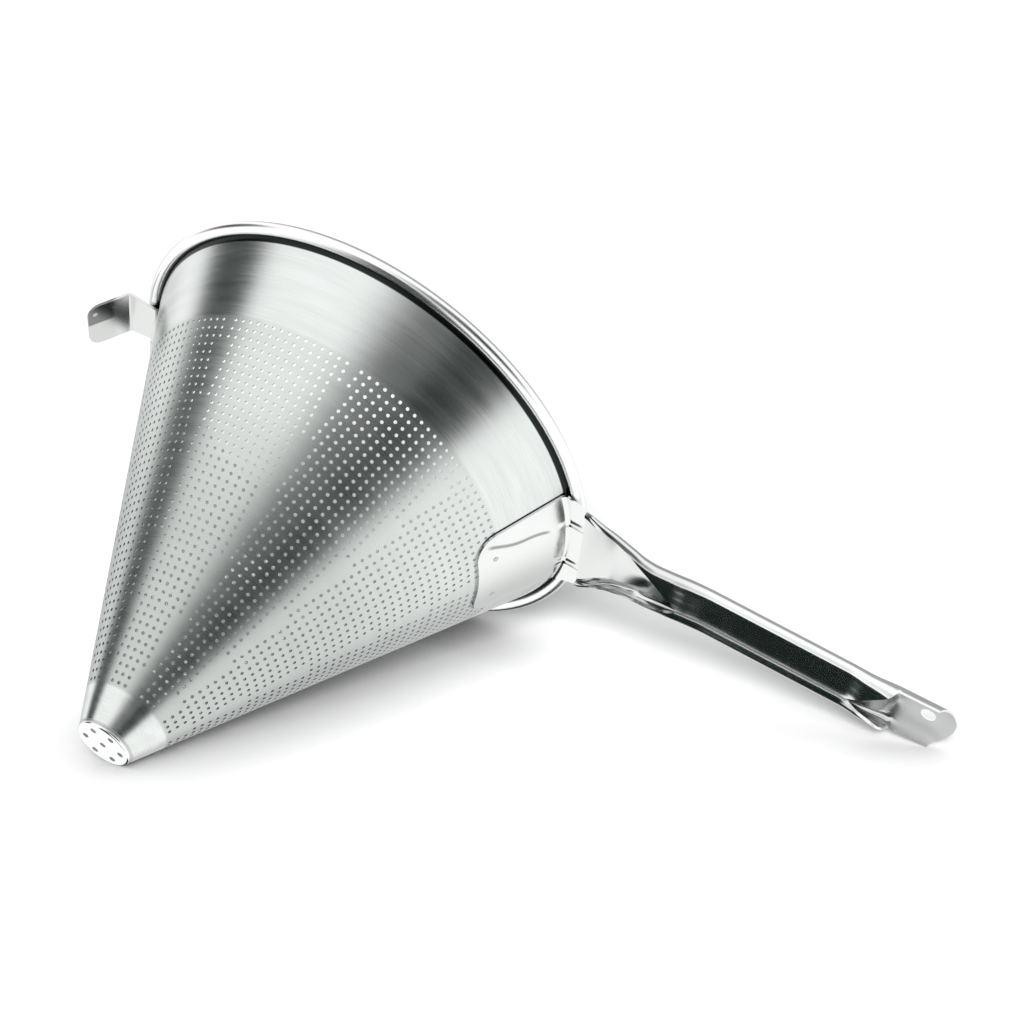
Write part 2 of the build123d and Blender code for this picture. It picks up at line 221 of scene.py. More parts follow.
class Amount:
    """A node socket's value that Python's operators work on."""

    def __init__(self, board, socket):
        self.board = board
        self.socket = socket

    def maths(self, operation, *others):
        values = dict(enumerate((self, *others)))
        return self.board.node("ShaderNodeMath", {"operation": operation}, values)

    def __rsub__(self, other):
        return self.board.number(other) - self

    def __rtruediv__(self, other):
        return self.board.number(other) / self

    def __neg__(self):
        return self * -1.0

    __add__ = __radd__ = operator("ADD")
    __sub__ = operator("SUBTRACT")
    __mul__ = operator("MULTIPLY")
    __truediv__ = operator("DIVIDE")
    __mod__ = operator("FLOORED_MODULO")
    __abs__ = operator("ABSOLUTE")


class Board:
    """A shader or geometry node tree under construction."""

    def __init__(self, tree):
        self.tree = tree

    def node(self, kind, settings=None, values=None, outlet=0):
        """Add a node with its settings and inlets' values, and give one of its outlets."""
        made = self.tree.nodes.new(kind)
        for name, value in (settings or {}).items():
            setattr(made, name, value)
        for key, value in (values or {}).items():
            socket = made.inputs[key]
            several = value if isinstance(value, list) else [value]
            if isinstance(several[0], Amount):
                for item in several:
                    self.tree.links.new(item.socket, socket)
            else:
                socket.default_value = value
        return Amount(self, made.outputs[outlet]) if len(made.outputs) else None

    def number(self, value):
        made = self.node("ShaderNodeValue")
        made.socket.default_value = value
        return made

    def vector(self, x=0.0, y=0.0, z=0.0):
        return self.node("ShaderNodeCombineXYZ", values={0: x, 1: y, 2: z})

    def dot(self, first, second):
        settings = {"operation": "DOT_PRODUCT"}
        return self.node("ShaderNodeVectorMath", settings, {0: first, 1: second}, "Value")

    def noise(self, scale, detail, vector=None):
        """Cloudy pattern over the object's coordinates or over a vector."""
        vector = vector or self.node("ShaderNodeTexCoord", outlet="Object")
        values = {"Vector": vector, "Scale": scale, "Detail": detail}
        return self.node("ShaderNodeTexNoise", values=values)

    def geometry(self, kind, *inlets, settings=None, **named):
        """Geometry node whose first inlets are given in order and the others by name."""
        return self.node("GeometryNode" + kind, settings, {**dict(enumerate(inlets)), **named})

    def smooth_step(self, value, low, high):
        """Zero below low, one above high and eased between them."""
        settings = {"interpolation_type": "SMOOTHSTEP"}
        return self.node("ShaderNodeMapRange", settings, {0: value, 1: low, 2: high})

    def mixed(self, share, first, second):
        return self.node(
            "ShaderNodeMix", {"data_type": "RGBA"}, {0: share, 6: first, 7: second}, 2
        )


# Sheet-metal forms


def round_point(radius, turn, height=0.0):
    return Vector((radius * cos(turn), radius * sin(turn), height))


def wall_point(slant, turn, lift=0.0):
    """Point at a distance from the apex along the wall, lifted off its outer face."""
    radius = slant * sin(slope) + lift * cos(slope)
    height = apex_height + slant * cos(slope) - lift * sin(slope)
    return round_point(radius, turn, height)


def direction(turn, rise):
    """Way at a turn round the vertical and a rise above level, in radians."""
    return round_point(cos(rise), turn, sin(rise))


def wall_radius(height):
    return wall_radius_at_rim + height * tan(slope)


def cone_slant(height):
    return (height - apex_height) / cos(slope)


def between(first, second, share):
    return first + (second - first) * share


def spaced(first, last, steps):
    """Evenly spaced values from the first to the last."""
    return [between(first, last, step / steps) for step in range(steps + 1)]


def arc(centre, radius, start, sweep, sides):
    """Points along a round stretch, angles in degrees."""
    turns = [radians(at) for at in spaced(start, start + sweep, sides)]
    return [(centre[0] + radius * cos(at), centre[1] + radius * sin(at)) for at in turns]


def eased(table, share, column):
    """Value of a table's column at a share, on a smooth curve that never overshoots."""
    last = len(table) - 2
    step = max(i for i in range(last + 1) if table[i][0] <= share or i == 0)

    def grade(i):
        return (table[i + 1][column] - table[i][column]) / (table[i + 1][0] - table[i][0])

    def tangent(i):
        if i == 0 or i > last:
            return 0.0
        before, after = grade(i - 1), grade(i)
        return 0.0 if before * after <= 0 else 2 * before * after / (before + after)

    start, end = table[step], table[step + 1]
    span = end[0] - start[0]
    t = (share - start[0]) / span
    rise = end[column] - start[column]
    first, second = tangent(step) * span, tangent(step + 1) * span
    return start[column] + t * (
        first + t * ((3 * rise - 2 * first - second) + t * (first + second - 2 * rise))
    )


def add_revolved(shape, outline, sides):
    """Sweep an outline of radius and height round the strainer's axis."""
    rings = []
    for radius, height in outline:
        turns = [2 * pi * side / sides for side in range(sides)]
        rings.append([shape.verts.new(round_point(radius, at, height)) for at in turns])
    for low, high in zip(rings, rings[1:]):
        for side in range(sides):
            after = (side + 1) % sides
            shape.faces.new((low[side], low[after], high[after], high[side]))


def plate(grid):
    """Closed plate from a grid of pairs of points, its front facing out of the grid."""
    shape = bmesh.new()
    sheets = [[[shape.verts.new(pair[face]) for pair in row] for row in grid] for face in (0, 1)]
    rows, columns = len(grid), len(grid[0])
    for sheet, flipped in zip(sheets, (False, True)):
        for i in range(rows - 1):
            for j in range(columns - 1):
                corners = [sheet[i][j], sheet[i][j + 1], sheet[i + 1][j + 1], sheet[i + 1][j]]
                shape.faces.new(corners[::-1] if flipped else corners)
    edge = [(0, j) for j in range(columns)]
    edge += [(i, columns - 1) for i in range(1, rows)]
    edge += [(rows - 1, j) for j in range(columns - 2, -1, -1)]
    edge += [(i, 0) for i in range(rows - 2, 0, -1)]
    for (i, j), (k, m) in zip(edge, edge[1:] + edge[:1]):
        shape.faces.new((sheets[0][k][m], sheets[0][i][j], sheets[1][i][j], sheets[1][k][m]))
    return shape


def join_points(shape, distance):
    bmesh.ops.remove_doubles(shape, verts=shape.verts, dist=distance)


def plain_mesh(shape, name):
    mesh = bpy.data.meshes.new(name)
    shape.to_mesh(mesh)
    shape.free()
    return mesh


def in_scene(name, data):
    made = bpy.data.objects.new(name, data)
    scene.collection.objects.link(made)
    return made


def modified_mesh(piece):
    """Mesh that an object's modifiers give. The object is removed."""
    view = bpy.context.evaluated_depsgraph_get()
    mesh = bpy.data.meshes.new_from_object(piece.evaluated_get(view))
    bpy.data.objects.remove(piece)
    return mesh


def with_modifiers(shape, name, *modifiers):
    """Smooth mesh after modifiers, each a kind and its settings."""
    mesh = plain_mesh(shape, name)
    mesh.shade_smooth()
    piece = in_scene(name, mesh)
    for kind, settings in modifiers:
        made = piece.modifiers.new(kind.title(), kind)
        for key, value in settings.items():
            setattr(made, key, value)
    return modified_mesh(piece)


def broken_edges(width):
    """Modifier that rounds a sheet's edges over."""
    settings = {
        "width": width,
        "segments": 2,
        "limit_method": "ANGLE",
        "angle_limit": radians(50),
        "harden_normals": True,
    }
    return "BEVEL", settings


def mesh_from(shape, name, sharp_turn=radians(40)):
    """Smooth mesh that keeps edges sharper than a turn."""
    mesh = plain_mesh(shape, name)
    mesh.shade_smooth()
    mesh.set_sharp_from_angle(angle=sharp_turn)
    return mesh


def make_piece(node, ending, mesh, finish, true_normal=None):
    """Put a mesh in millimetres in its place, as the piece that stands for a node."""
    if true_normal:
        normals = []
        for face in mesh.polygons:
            for corner in face.loop_indices:
                point = mesh.vertices[mesh.loops[corner].vertex_index].co
                exact = true_normal(point, face.normal)
                normals.append(exact or mesh.corner_normals[corner].vector.copy())
        mesh.normals_split_custom_set(normals)
    mesh.transform(lay)
    mesh.materials.clear()
    mesh.materials.append(finish)
    piece = in_scene(f"{node}_{ending}", mesh)
    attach(piece, "root")
    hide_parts(node)


# Perforated bowl


def perforation_tree(finish):
    """Node tree that punches one sector flat, wraps it on the cone and repeats it."""
    tree = bpy.data.node_groups.new("perforated_sheet", "GeometryNodeTree")
    tree.interface.new_socket("Sheet", in_out="OUTPUT", socket_type="NodeSocketGeometry")
    sizes = {
        "Outline": None,
        "First ring": first_ring,
        "Ring pitch": ring_pitch,
        "Ring count": ring_count,
        "Hole diameter": hole_diameter,
        "Hole sides": hole_sides,
        "Pitch at tip": hole_pitch_at_tip,
        "Pitch at top": hole_pitch_at_top,
        "Pitch growth": hole_pitch_growth,
        "Sector count": sector_count,
        "Sector margin": sector_margin,
        "Sheet thickness": cone_sheet,
    }
    kinds = {type(None): "NodeSocketGeometry", float: "NodeSocketFloat", int: "NodeSocketInt"}
    values = {}
    for name, value in sizes.items():
        kind = kinds[type(value)]
        socket = tree.interface.new_socket(name, in_out="INPUT", socket_type=kind)
        values[socket.identifier] = value
    board = Board(tree)
    group = tree.nodes.new("NodeGroupInput")
    inlet = {name: Amount(board, group.outputs[name]) for name in sizes}

    # Hole middles on the flat sector, ring by ring and outward from the sector's middle line
    half_turn = pi / inlet["Sector count"]
    widest_half = cone_slant(0.0) * sin(slope) * sector_turn / 2
    side_count = ceil(widest_half / hole_pitch_at_tip)
    across = 2 * side_count + 1
    index = board.geometry("InputIndex")
    ring = (index / across).maths("FLOOR")
    step = index % across - side_count
    slant = inlet["First ring"] + ring * inlet["Ring pitch"]
    pitch = inlet["Pitch at tip"] + (slant - inlet["First ring"]) * inlet["Pitch growth"]
    pitch = pitch.maths("MINIMUM", inlet["Pitch at top"])
    half_arc = slant * sin(slope) * half_turn - inlet["Sector margin"]
    beyond = abs(step * pitch).maths("GREATER_THAN", half_arc)
    flat_turn = step * pitch / slant
    middle = board.vector(slant * flat_turn.maths("COSINE"), slant * flat_turn.maths("SINE"))
    points = board.geometry("Points", inlet["Ring count"] * across, middle)
    points = board.geometry("DeleteGeometry", points, beyond, settings={"domain": "POINT"})
    hole_radius = inlet["Hole diameter"] / 2
    circle = board.geometry(
        "CurvePrimitiveCircle", Resolution=inlet["Hole sides"], Radius=hole_radius
    )
    holes = board.geometry("InstanceOnPoints", points, Instance=circle)
    holes = board.geometry("RealizeInstances", holes)

    # Outer face, inner face and the walls of the holes
    outline = board.geometry("MeshToCurve", inlet["Outline"])
    lines = board.geometry("JoinGeometry", [outline, holes])
    outer = board.geometry("FillCurve", lines, settings={"mode": "TRIANGLES"})
    down = board.vector(z=-inlet["Sheet thickness"])
    inner = board.geometry("Transform", outer, Translation=down)
    inner = board.geometry("FlipFaces", inner)
    edges = board.geometry("CurveToMesh", holes)
    walls = board.geometry("ExtrudeMesh", edges, Offset=down, settings={"mode": "EDGES"})
    flat = board.geometry("JoinGeometry", [outer, inner, walls])

    # Wrap on the cone
    place = board.geometry("InputPosition")
    x, y, z = [board.node("ShaderNodeSeparateXYZ", None, {0: place}, axis) for axis in "XYZ"]
    slant = (x * x + y * y).maths("SQRT")
    turn = y.maths("ARCTAN2", x) / -sin(slope)
    radius = slant * sin(slope) + z * cos(slope)
    height = slant * cos(slope) - z * sin(slope) + apex_height
    on_cone = board.vector(radius * turn.maths("COSINE"), radius * turn.maths("SINE"), height)
    sector = board.geometry("SetPosition", flat, Position=on_cone)

    # Repeat the sector round the axis
    index = board.geometry("InputIndex")
    swing = board.vector(z=(index + 0.5) * half_turn * 2)
    middles = board.geometry("Points", inlet["Sector count"])
    bowl = board.geometry("InstanceOnPoints", middles, Instance=sector, Rotation=swing)
    bowl = board.geometry("RealizeInstances", bowl)
    bowl = board.geometry("MergeByDistance", bowl, Distance=touching)
    bowl = board.geometry("SetMaterial", bowl, Material=finish)
    outlet = tree.nodes.new("NodeGroupOutput")
    tree.links.new(bowl.socket, outlet.inputs[0])
    return tree, values


def sector_outline():
    """Flat outline of one sector: two arcs and two straight sides."""
    half = sector_turn / 2 * sin(slope)
    low, high, sides = punched_low, punched_high, bowl_sides_per_sector
    stretches = [
        (low, low, -half, half, sides),
        (low, high, half, half, sector_side_steps),
        (high, high, half, -half, sides),
        (high, low, -half, -half, sector_side_steps),
    ]
    points = []
    for start, end, first_turn, last_turn, steps in stretches:
        places = zip(spaced(start, end, steps), spaced(first_turn, last_turn, steps))
        points += [round_point(slant, at) for slant, at in places][:-1]
    mesh = bpy.data.meshes.new("sector_outline")
    edges = [(i, (i + 1) % len(points)) for i in range(len(points))]
    mesh.from_pydata(points, edges, [])
    return in_scene("sector_outline", mesh)


def punched_band(finish):
    """Mesh of the punched band of the wall."""
    outline = sector_outline()
    tree, values = perforation_tree(finish)
    punch = outline.modifiers.new("Perforation", "NODES")
    punch.node_group = tree
    for identifier, value in values.items():
        if value is not None:
            punch[identifier] = value
    return modified_mesh(outline)


def wall_outline_point(slant, lift):
    point = wall_point(slant, 0.0, lift)
    return point.x, point.z


def cone_normal(point, face_normal):
    """Exact normal on the wall's two faces below the rim."""
    if point.z > -curl_outer_radius:
        return None
    outward = direction(atan2(point.y, point.x), -slope)
    agreement = outward.dot(face_normal)
    if abs(agreement) < face_agreement:
        return None
    return outward if agreement > 0 else -outward


def perforated_cone(finish):
    """Cone of sheet steel with its punched band and its edge rolled over a wire."""
    shape = bmesh.new()
    shape.from_mesh(punched_band(finish))
    centre = (curl_circle, 0.0)
    start = 180.0 - degrees(slope)
    lip = degrees(acos((curl_inner_radius - curl_lip_gap) / curl_outer_radius))
    sweep = lip - 360.0
    inside = arc(centre, curl_inner_radius, start, sweep, curl_sides)
    outside = arc(centre, curl_outer_radius, start, sweep, curl_sides)
    top = [
        wall_outline_point(punched_high, 0.0),
        *inside,
        *reversed(outside),
        wall_outline_point(punched_high, -cone_sheet),
    ]
    add_revolved(shape, top, bowl_sides)
    end_slant = cone_slant(tip_height)
    bottom = [
        wall_outline_point(punched_low, -cone_sheet),
        wall_outline_point(end_slant, -cone_sheet),
        wall_outline_point(end_slant, 0.0),
        wall_outline_point(punched_low, 0.0),
    ]
    add_revolved(shape, bottom, bowl_sides)
    join_points(shape, touching)
    mesh = mesh_from(shape, "perforated_cone")
    make_piece("perforated_cone", "skin", mesh, finish, cone_normal)


# Small end


def flat_disc(radius, holes, thickness):
    """Disc with round holes, from a flat curve."""
    curve = bpy.data.curves.new("disc", "CURVE")
    curve.dimensions = "2D"
    curve.fill_mode = "BOTH"
    curve.extrude = thickness / 2
    circles = [((0.0, 0.0), radius, cap_sides)]
    circles += [(middle, cap_hole_diameter / 2, cap_hole_sides) for middle in holes]
    for middle, size, sides in circles:
        spline = curve.splines.new("POLY")
        spline.points.add(sides - 1)
        for side, point in enumerate(spline.points):
            at = 2 * pi * side / sides
            point.co = (middle[0] + size * cos(at), middle[1] + size * sin(at), 0.0, 1.0)
        spline.use_cyclic_u = True
    disc = bpy.data.objects.new("disc", curve)
    mesh = bpy.data.meshes.new_from_object(disc)
    bpy.data.objects.remove(disc)
    return mesh


def cap_normal(point, face_normal):
    """Normal that shades the flat face as a slight dome, outside and inside."""
    radius = hypot(point.x, point.y)
    flat_radius = tip_radius - cap_edge_radius
    if abs(face_normal.z) < face_agreement or radius > flat_radius + touching:
        return None
    lean = 2 * cap_dome * radius / flat_radius**2
    outward = round_point(lean, atan2(point.y, point.x), -1.0).normalized()
    return outward if face_normal.z < 0 else -outward


def tip_cap(finish):
    """Pressed cap: a face with seven holes and a rounded flange."""
    flat_radius = tip_radius - cap_edge_radius
    face_height = tip_height - cap_edge_radius
    holes = [(0.0, 0.0)]
    for place in range(cap_hole_count):
        at = 2 * pi * place / cap_hole_count
        holes.append((cap_hole_circle / 2 * cos(at), cap_hole_circle / 2 * sin(at)))
    shape = bmesh.new()
    shape.from_mesh(flat_disc(flat_radius, holes, cone_sheet))
    join_points(shape, 0.001)
    rim_faces = []
    for face in shape.faces:
        middle = face.calc_center_median()
        outermost = hypot(middle.x, middle.y) > flat_radius * 0.98
        if abs(face.normal.z) < 0.5 and outermost:
            rim_faces.append(face)
    bmesh.ops.delete(shape, geom=rim_faces, context="FACES_ONLY")
    bmesh.ops.translate(shape, verts=shape.verts, vec=(0.0, 0.0, face_height + cone_sheet / 2))
    centre = (flat_radius, tip_height)
    edge = arc(centre, cap_edge_radius, -90.0, 90.0, cap_edge_steps)
    inner = arc(centre, cap_edge_radius - cone_sheet, 0.0, -90.0, cap_edge_steps // 2)
    add_revolved(shape, [*edge, *inner], cap_sides)
    join_points(shape, 0.005)
    mesh = mesh_from(shape, "tip_cap")
    make_piece("tip_cap", "skin", mesh, finish, cap_normal)


def tip_weld(finish):
    """Low rounded weld band round the cap's joint."""
    low = cone_slant(tip_height)
    outline = []
    for share in spaced(0.0, 1.0, tip_weld_steps):
        lift = tip_weld_height * sin(pi * share)
        outline.append(wall_outline_point(low + tip_weld_width * share, lift))
    shape = bmesh.new()
    add_revolved(shape, [*outline, outline[0]], bowl_sides)
    join_points(shape, 0.0005)
    mesh = mesh_from(shape, "tip_weld", weld_sharp_turn)
    make_piece("tip_weld", "bead", mesh, finish)


# Bracket and hook


def strap_bend(thickness, bend_radius):
    """Centre of the bend that lifts a strap off the wall, just under the rim."""
    back_radius = bend_radius + thickness
    height = ledge_top - back_radius
    return Vector((wall_radius(height) + back_radius / cos(slope), height))


bracket_bend = strap_bend(bracket_sheet, bracket_bend_radius)
bracket_foot = bracket_bend.y - bracket_leg * cos(slope) + bracket_bend_radius * sin(slope)
bracket_growth = (bracket_top_half_width - bracket_bottom_half_width) / (ledge_top - bracket_foot)


def strap_profile(thickness, bend_radius, leg, leg_places):
    """Rows of front and back points from a strap's foot to the end of its bend."""
    centre = strap_bend(thickness, bend_radius)
    up = Vector((sin(slope), cos(slope)))
    rows = []
    out_way = Vector((-cos(slope), sin(slope)))
    for place in leg_places:
        back = centre + out_way * (bend_radius + thickness) - up * (leg - place)
        front = centre + out_way * bend_radius - up * (leg - place)
        rows.append((front, back))
    for at in spaced(pi - slope, pi / 2, strap_bend_steps)[1:]:
        way = Vector((cos(at), sin(at)))
        rows.append((centre + way * bend_radius, centre + way * (bend_radius + thickness)))
    return rows


def rib_lift(sideways, past_bend):
    """Height of the two pressed ribs at a place across and along the strap's front."""
    beside = (abs(sideways) - rib_spread / 2) / rib_half_width
    beyond = past_bend / rib_half_length
    return rib_height * max(0.0, 1 - beside**2) ** 1.5 * max(0.0, 1 - beyond**2) ** 0.8


def handle_bracket(finish):
    """Shield plate on the cone, its top bent out to carry the handle, with two ribs."""
    corner_steps, leg_steps, ledge_steps, columns = 10, 30, 8, 100
    corner = bracket_corner_radius
    places = [corner * (1 - cos(turn)) for turn in spaced(0.0, pi / 2, corner_steps)[:-1]]
    places += spaced(corner, bracket_leg, leg_steps)
    rows = strap_profile(bracket_sheet, bracket_bend_radius, bracket_leg, places)
    bend_start = len(places) - 1
    grid = []
    for number in range(len(rows) + ledge_steps):
        row = min(number, len(rows) - 1)
        front, back = rows[row]
        half = bracket_bottom_half_width + bracket_growth * (front.y - bracket_foot)
        if row < corner_steps:
            half -= corner - sqrt(corner**2 - (corner - places[row])**2)
        half = min(half, bracket_top_half_width)
        outward = (front - back).normalized()
        on_ledge = max(0, number - len(rows) + 1) / ledge_steps
        if row < bend_start:
            past_bend = places[row] - bracket_leg - bracket_bend_radius / 2
        else:
            bent = (number - bend_start) / (len(rows) - 1 - bend_start)
            past_bend = (min(bent, 1.0) - 0.5) * bracket_bend_radius
            past_bend += on_ledge * (seam_place - bracket_bend.x)
        grid_row = []
        for share in spaced(-1.0, 1.0, columns):
            pair = []
            for point in (front, back):
                sideways = share * half
                forward = sqrt(point.x**2 - sideways**2)
                sideways = between(sideways, share * root_width / 2, on_ledge)
                forward = between(forward, seam_place, on_ledge)
                pair.append(Vector((forward, sideways, point.y)))
            turn = atan2(pair[0].y, pair[0].x)
            lift = rib_lift(pair[0].y, past_bend - rib_shift)
            away = round_point(outward.x, turn, outward.y) * lift
            grid_row.append((pair[0] + away, pair[1] + away * rib_back_share))
        grid.append(grid_row)
    mesh = with_modifiers(plate(grid), "handle_bracket", broken_edges(bracket_edge_width))
    make_piece("handle_bracket", "skin", mesh, finish)


def rest_hook(finish):
    """Strap hook opposite the handle, its end rounded."""
    leg_steps, level_steps, bend_steps, drop_steps, columns = 10, 6, 8, 24, 24
    places = spaced(0.0, hook_leg, leg_steps)
    profile = strap_profile(hook_sheet, hook_bend_radius, hook_leg, places)
    rows = [(front, back, hook_root_width / 2, True) for front, back in profile]
    bend_outer = hook_bend_radius + hook_sheet
    reach = wall_radius(ledge_top) + hook_reach
    bend_place = reach - bend_outer * tan(hook_drop_turn / 2)
    start = rows[-1][0].x
    for share in spaced(0.0, 1.0, level_steps)[1:]:
        place = between(start, bend_place, share)
        half = between(hook_root_width, hook_width, share) / 2
        low, high = Vector((place, ledge_top - hook_sheet)), Vector((place, ledge_top))
        rows.append((low, high, half, False))
    middle = Vector((bend_place, ledge_top - bend_outer))
    for at in spaced(pi / 2, pi / 2 - hook_drop_turn, bend_steps)[1:]:
        way = Vector((cos(at), sin(at)))
        inner, outer = middle + way * hook_bend_radius, middle + way * bend_outer
        rows.append((inner, outer, hook_width / 2, False))
    drop = Vector((cos(hook_drop_turn), -sin(hook_drop_turn)))
    straight = hook_drop_length - hook_corner_radius
    for share in spaced(0.0, 2.0, drop_steps)[1:]:
        if share <= 1:
            place, half = straight * share, hook_width / 2
        else:
            at = pi / 2 * (share - 1)
            place = straight + hook_corner_radius * sin(at)
            half = hook_width / 2 - hook_corner_radius * (1 - cos(at))
        rows.append((inner + drop * place, outer + drop * place, half, False))

    def placed(point, sideways, round_cone):
        forward = sqrt(point.x**2 - sideways**2) if round_cone else point.x
        return Vector((-forward, -sideways, point.y))

    grid = []
    for *pair, half, round_cone in rows:
        row = spaced(-half, half, columns)
        grid.append([[placed(point, at, round_cone) for point in pair] for at in row])
    mesh = with_modifiers(plate(grid), "rest_hook", broken_edges(hook_edge_width))
    make_piece("rest_hook", "skin", mesh, finish)


# Handle


def handle_size(share):
    """Half-width, half-height, middle height and side radius at a share of the length."""
    width, top, low, side = [eased(handle_station_shares, share, i) for i in range(1, 5)]
    half_width = between(root_width, grip_width, width) / 2
    grip_top = grip_height / 2 - grip_axis_drop
    grip_low = -grip_height / 2 - grip_axis_drop
    top = between(ledge_top, grip_top, top)
    low = between(ledge_top - root_lip_depth, grip_low, low)
    half_height = (top - low) / 2
    return half_width, half_height, (top + low) / 2, half_height * side


def opening_half_width(place):
    """Half the width of the gap between the flaps at a place along the handle."""
    half = flap_gap / 2
    if place < root_point_place:
        share = (root_point_place - place) / (root_point_place - seam_place)
        half += root_opening_half_width * share**root_opening_power
    if place > end_point_place:
        half += end_opening_growth * (place - end_point_place)
    return half


def half_section(half_width, half_height, middle, side_radius):
    """Points and outward ways of an oval, from its lowest point up one side to its top."""
    steps = half_section_steps
    side_place = half_width - side_radius
    crown_radius = (side_place**2 + half_height**2 - side_radius**2) / 2
    crown_radius /= half_height - side_radius
    turn = atan2(side_place, crown_radius - half_height)
    low_middle = Vector((0.0, middle + crown_radius - half_height))
    high_middle = Vector((0.0, middle - crown_radius + half_height))
    points = []
    for at in spaced(0.0, turn, steps)[:-1]:
        way = Vector((sin(at), -cos(at)))
        points.append((low_middle + way * crown_radius, way))
    for at in spaced(turn, pi - turn, steps):
        way = Vector((sin(at), -cos(at)))
        points.append((Vector((side_place, middle)) + way * side_radius, way))
    for at in spaced(turn, 0.0, steps)[1:]:
        way = Vector((sin(at), cos(at)))
        points.append((high_middle + way * crown_radius, way))
    return points


def flap_section(place, columns):
    """Evenly spaced points and outward ways of the open section, from flap to flap."""
    share = (place - seam_place) / handle_length
    half_width, half_height, middle, side_radius = handle_size(share)
    points = half_section(half_width, half_height, middle, side_radius)
    opening = min(opening_half_width(place), half_width - opening_margin)
    kept = []
    for (before, _), (point, way) in zip(points, points[1:]):
        if not kept and point.y <= middle and point.x <= opening:
            continue
        if not kept:
            part = (opening - before.x) / max(point.x - before.x, 1e-6)
            kept.append((before.lerp(point, min(max(part, 0.0), 1.0)), way))
        kept.append((point, way))
    lengths = [0.0]
    for (before, _), (after, _) in zip(kept, kept[1:]):
        lengths.append(lengths[-1] + (after - before).length)
    half = []
    at = 0
    for wanted in spaced(0.0, lengths[-1], columns):
        while at < len(kept) - 2 and lengths[at + 1] < wanted:
            at += 1
        part = (wanted - lengths[at]) / max(lengths[at + 1] - lengths[at], 1e-9)
        point = kept[at][0].lerp(kept[at + 1][0], part)
        way = kept[at][1].lerp(kept[at + 1][1], part).normalized()
        half.append((point, way))
    edge, edge_way = half[0]
    hem = edge - edge_way * min(hem_depth, (half_width - opening) / 2)
    toward_gap = (edge - half[1][0]).normalized()
    half[0] = (edge, (edge_way + toward_gap) * hem_corner_share)
    half.insert(0, (hem, toward_gap))
    mirrored = [(Vector((-p.x, p.y)), Vector((-w.x, w.y))) for p, w in reversed(half[:-1])]
    return half + mirrored


def handle(finish):
    """Rolled sheet handle whose flaps part at both ends, with a hanging hole."""
    columns = 26
    root_steps, grip_steps, end_steps = 56, 30, 36
    round_start = handle_end - end_radius
    places = spaced(seam_place, grip_start, root_steps)[:-1]
    places += spaced(grip_start, grip_stop, grip_steps)[:-1]
    places += spaced(grip_stop, handle_end, end_steps)
    last = flap_section(handle_end, columns)
    grid = []
    for place in places:
        row = []
        for (point, way), (end_point, _) in zip(flap_section(place, columns), last):
            reach = place
            if place > round_start:
                share = (place - round_start) / end_radius
                reach = round_start + share * sqrt(end_radius**2 - end_point.x**2)
            inner = point - way * handle_sheet
            row.append([Vector((reach, side.x, side.y)) for side in (point, inner)])
        grid.append(row)
    drill_shape = bmesh.new()
    bmesh.ops.create_cone(
        drill_shape,
        cap_ends=True,
        segments=hanging_hole_sides,
        radius1=hanging_hole_diameter / 2,
        radius2=hanging_hole_diameter / 2,
        depth=2 * grip_height,
        matrix=Matrix.Translation((handle_end - hanging_hole_setback, 0.0, grip_height)),
    )
    drill = in_scene("drill", plain_mesh(drill_shape, "drill"))
    cut = ("BOOLEAN", {"operation": "DIFFERENCE", "object": drill, "solver": "EXACT"})
    mesh = with_modifiers(plate(grid), "handle", cut, broken_edges(handle_edge_width))
    bpy.data.objects.remove(drill)
    make_piece("handle", "skin", mesh, finish)


# Welds


def weld_spot(shape, plane):
    """Low round weld mark with a shallow dish, on a plane given as a matrix."""
    outline = [(spot_diameter / 2 * out, spot_height * up) for out, up in spot_profile]
    start = len(shape.verts)
    add_revolved(shape, outline, spot_sides)
    shape.verts.ensure_lookup_table()
    shape.faces.new(shape.verts[start + spot_sides * (len(outline) - 1):])
    shape.faces.new(shape.verts[start:start + spot_sides][::-1])
    for vertex in shape.verts[start:]:
        vertex.co = plane @ vertex.co


def spot_plane(slant, turn, lift):
    """Matrix of a plane that lies on the wall at a turn, lifted off it."""
    outward = direction(turn, -slope)
    uphill = direction(turn, pi / 2 - slope)
    plane = Matrix((uphill, outward.cross(uphill), outward)).transposed().to_4x4()
    plane.translation = wall_point(slant, turn, lift)
    return plane


def spot_welds(name, finish, strap, height, spread, turn):
    """Two weld marks on a strap given by its sheet, its bend's radius and its leg."""
    sheet, bend_radius, leg = strap
    centre = strap_bend(sheet, bend_radius)
    foot = cone_slant(centre.y + (bend_radius + sheet) * sin(slope)) - leg
    slant = foot + height
    shape = bmesh.new()
    for side in (-1, 1):
        swing = side * asin(spread / 2 / (slant * sin(slope)))
        weld_spot(shape, spot_plane(slant, turn + swing, sheet))
    make_piece(name, "marks", mesh_from(shape, name), finish)


def root_weld(finish):
    """Rippled weld bead over the joint of bracket and handle."""
    sides, steps = 12, 108
    grid = []
    for place in spaced(-root_weld_length / 2, root_weld_length / 2, steps):
        end = min(1.0, (root_weld_length / 2 - abs(place)) / root_weld_radius)
        ripple = 1 - root_weld_ripple * abs(sin(pi * place / root_weld_ripple_pitch))
        size = max(root_weld_end_share, sqrt(max(end * (2 - end), 0.0)))
        size *= root_weld_radius * ripple
        row = []
        for at in spaced(pi, 0.0, sides):
            forward = seam_place + root_weld_radius + size * cos(at)
            rises = (size * sin(at), size * sin(at) * root_weld_under_share)
            row.append([Vector((forward, place, ledge_top + rise)) for rise in rises])
        grid.append(row)
    mesh = mesh_from(plate(grid), "handle_root_weld", weld_sharp_turn)
    make_piece("handle_root_weld", "bead", mesh, finish)


# Finishes

